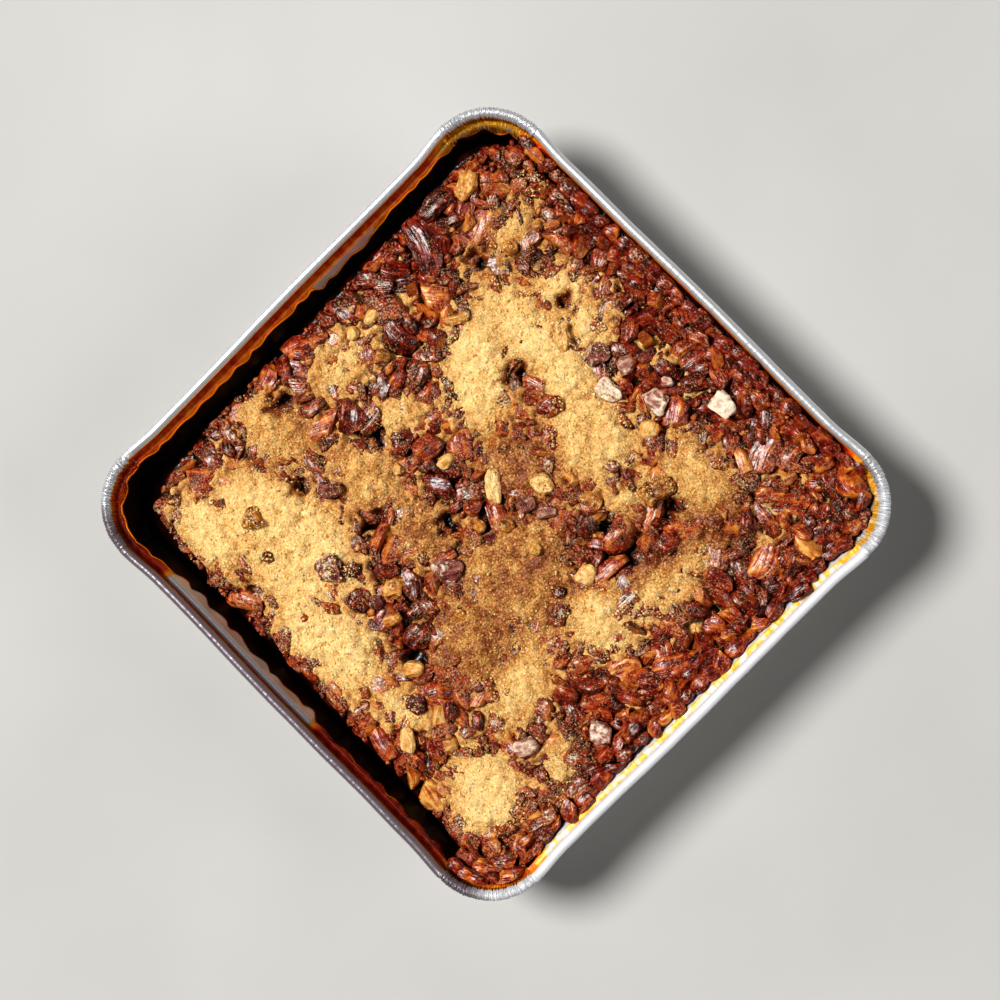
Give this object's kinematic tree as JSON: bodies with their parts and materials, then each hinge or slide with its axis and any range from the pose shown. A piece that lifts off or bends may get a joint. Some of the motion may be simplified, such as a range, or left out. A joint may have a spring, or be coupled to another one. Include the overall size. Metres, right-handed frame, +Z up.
{
  "type": "pecan cobbler in a foil pan",
  "caption": "Baked cobbler of chopped pecans in dark syrup with patches of golden crumb topping, in a square crimped foil pan.",
  "frame": {"origin": "centre of the pan's flat base, on the surface that it stands on", "axes": "+Z up; X and Y along the sides of the square pan; the picture's right corner is at +X +Y"},
  "size_m": [0.206, 0.206, 0.045],
  "materials": {
    "foil": "bright creased foil",
    "filling": "glossy dark syrup with chopped pecans",
    "crumb": "dry golden brown sugar crumb",
    "pecan": "syrup-glazed pecan",
    "pecan_tan": "broken pecan, cut side up",
    "pecan_pale": "dry pecan dusted with sugar"
  },
  "bodies": {
    "root": {"foil_pan": "foil", "pecan_filling": "filling", "crumb_topping_1": "crumb", "crumb_topping_2": "crumb", "crumb_topping_3": "crumb", "crumb_topping_4": "crumb", "crumb_topping_5": "crumb", "crumb_topping_6": "crumb", "crumb_topping_7": "crumb", "pecan_piece_01": "pecan_pale", "pecan_piece_02": "pecan_pale", "pecan_piece_03": "pecan_pale", "pecan_piece_04": "pecan_pale", "pecan_piece_05": "pecan_tan", "pecan_piece_06": "pecan", "pecan_piece_07": "pecan_tan", "pecan_piece_08": "pecan", "pecan_piece_09": "pecan", "pecan_piece_10": "pecan_tan", "pecan_piece_11": "pecan_tan", "pecan_piece_12": "pecan_tan", "pecan_piece_13": "pecan", "pecan_piece_14": "pecan", "pecan_piece_15": "pecan", "pecan_piece_16": "pecan", "pecan_piece_17": "pecan", "pecan_piece_18": "pecan", "pecan_piece_19": "pecan_tan", "pecan_piece_20": "pecan", "pecan_piece_21": "pecan_tan", "pecan_piece_22": "pecan", "pecan_piece_23": "pecan", "pecan_piece_24": "pecan", "pecan_piece_25": "pecan", "pecan_piece_26": "pecan", "pecan_piece_27": "pecan", "pecan_piece_28": "pecan", "pecan_piece_29": "pecan"}
  },
  "joints": []
}
